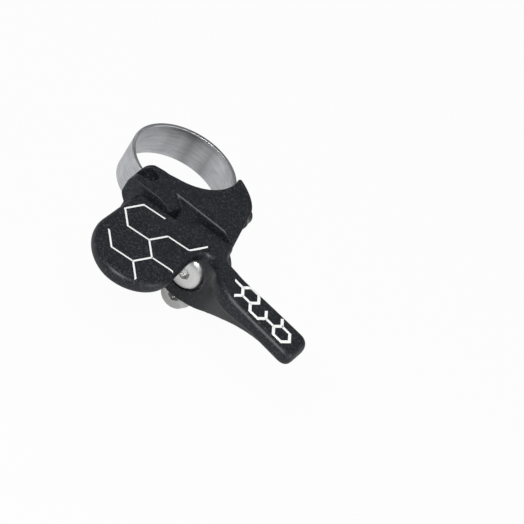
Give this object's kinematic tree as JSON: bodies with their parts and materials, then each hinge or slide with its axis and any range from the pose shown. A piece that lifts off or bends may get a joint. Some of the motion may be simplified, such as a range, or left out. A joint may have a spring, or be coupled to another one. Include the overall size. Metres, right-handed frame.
{
  "type": "dropper post remote lever",
  "caption": "Under-bar bicycle remote: strap clamp for a 22.2 mm handlebar, cable housing seat, and a sprung lever with a thumb paddle and an arm on a bearing.",
  "frame": {"origin": "on the handlebar's axis, halfway across the clamp band", "axes": "+Z along the handlebar, +X towards the tip of the lever's arm, -Y away from the bar through the bracket to the lever"},
  "size_m": [0.0581, 0.0595, 0.0224],
  "materials": {
    "black_coat": "fine matt black powder coat on aluminium",
    "brushed_band": "bare metal, brushed around the ring",
    "satin_steel": "satin",
    "dark_steel": "black oxide"
  },
  "bodies": {
    "bracket": {"bracket": "black_coat", "clamp_band": "brushed_band", "clamp_bolt": "dark_steel", "clamp_washer": "satin_steel", "clamp_barrel_nut": "satin_steel", "band_hook_pin": "dark_steel", "pivot_bolt": "satin_steel", "pivot_spacer": "satin_steel", "bearing_inner_race": "satin_steel", "return_spring": "satin_steel"},
    "lever": {"lever": "black_coat", "bearing_outer_race": "satin_steel", "bearing_shield_front": "satin_steel", "bearing_shield_back": "satin_steel", "cable_anchor_screw": "satin_steel", "cable_anchor_washer": "satin_steel"},
    "ball_set": {"bearing_cage": "dark_steel", "bearing_ball_1": "satin_steel", "bearing_ball_2": "satin_steel", "bearing_ball_3": "satin_steel", "bearing_ball_4": "satin_steel", "bearing_ball_5": "satin_steel", "bearing_ball_6": "satin_steel", "bearing_ball_7": "satin_steel"}
  },
  "joints": [
    {"name": "lever_pivot", "type": "hinge", "parent": "bracket", "child": "lever", "pos_m": [0.0166, -0.02, 0], "axis": [0, -1, 0], "range_deg": [0, 40], "stiffness_Nm_per_rad": 0.06, "springref_deg": -28.65, "deforming": ["return_spring"]},
    {"name": "ball_set_roll", "type": "hinge", "parent": "bracket", "child": "ball_set", "pos_m": [0.0166, -0.02, 0], "axis": [0, -1, 0], "range_deg": [0, 40]}
  ],
  "couplings": [
    {"joint": "ball_set_roll", "follows": "lever_pivot", "ratio": 0.5923}
  ]
}
